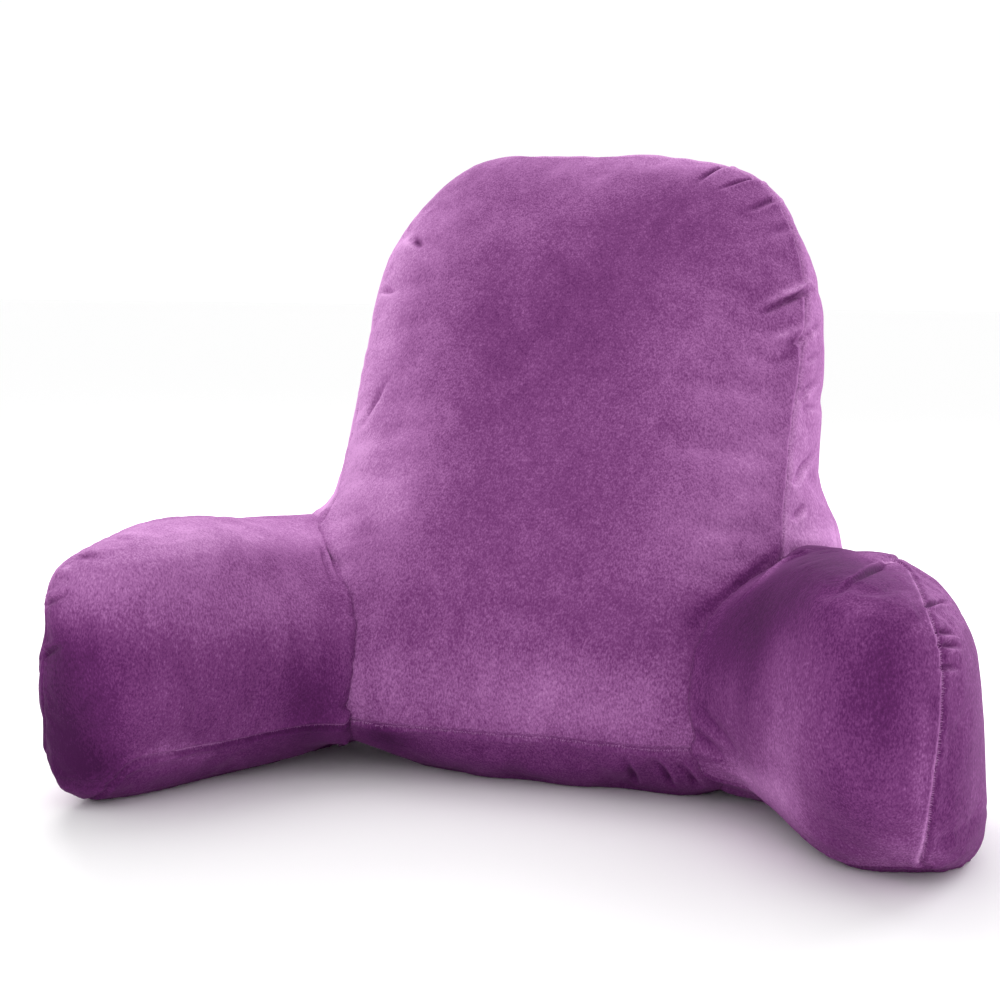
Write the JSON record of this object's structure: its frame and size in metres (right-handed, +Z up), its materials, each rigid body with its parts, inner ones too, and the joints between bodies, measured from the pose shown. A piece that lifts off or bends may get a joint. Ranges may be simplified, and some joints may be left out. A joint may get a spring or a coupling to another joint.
{
  "type": "reading pillow with arms",
  "caption": "Leaning filled backrest cushion with rounded top corners and a filled armrest reaching forward from each side, in short purple plush.",
  "frame": {"origin": "on the backrest's flat resting face, midway between the arms", "axes": "+Z up, -Y the way the arms reach and the sitter faces, +X to the arm_right side; the part mirrors in the plane X = 0"},
  "size_m": [0.6534, 0.4523, 0.4739],
  "materials": {
    "plush": "short-pile plush, brushed in patches"
  },
  "bodies": {
    "root": {"backrest": "plush", "arm_left": "plush", "arm_right": "plush"}
  },
  "joints": []
}
